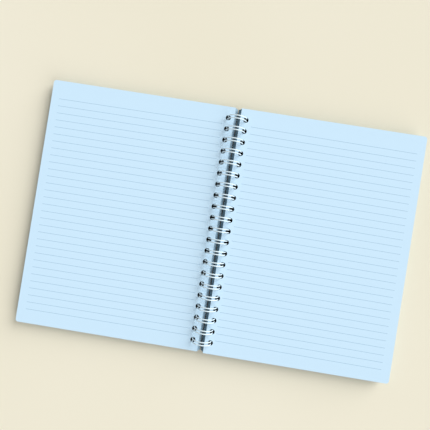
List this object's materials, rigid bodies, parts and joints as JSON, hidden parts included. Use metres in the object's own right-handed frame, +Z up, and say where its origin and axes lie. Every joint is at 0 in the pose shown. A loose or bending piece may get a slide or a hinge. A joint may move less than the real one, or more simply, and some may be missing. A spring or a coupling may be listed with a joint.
{
  "type": "spiral notebook",
  "caption": "Ruled notebook with a twin-loop wire binding, lying open with two stacks of pages over card covers.",
  "frame": {"origin": "on the table, under the middle of the binding", "axes": "+X across the spine to the right-hand page, +Y along the spine to the head of the pages, +Z up"},
  "size_m": [0.427, 0.2794, 0.0224],
  "materials": {
    "coated_wire": "smooth white coating on steel wire",
    "cover_card": "matt pressed card",
    "ruled_paper": "matt writing paper"
  },
  "bodies": {
    "binding": {"twin_loop_wire": "coated_wire"},
    "front_cover": {"front_cover": "cover_card"},
    "left_pages": {"left_pages": "ruled_paper"},
    "back_cover": {"back_cover": "cover_card"},
    "right_pages": {"right_pages": "ruled_paper"}
  },
  "joints": [
    {"name": "front_cover_turn", "type": "hinge", "parent": "binding", "child": "front_cover", "pos_m": [0, 0, 0.0113], "axis": [0, 1, 0], "range_deg": [0, 180]},
    {"name": "left_pages_turn", "type": "hinge", "parent": "front_cover", "child": "left_pages", "pos_m": [0, 0, 0.0113], "axis": [0, 1, 0], "range_deg": [0, 180]},
    {"name": "back_cover_turn", "type": "hinge", "parent": "binding", "child": "back_cover", "pos_m": [0, 0, 0.0113], "axis": [0, -1, 0], "range_deg": [0, 180]},
    {"name": "right_pages_turn", "type": "hinge", "parent": "back_cover", "child": "right_pages", "pos_m": [0, 0, 0.0113], "axis": [0, -1, 0], "range_deg": [0, 180]}
  ]
}
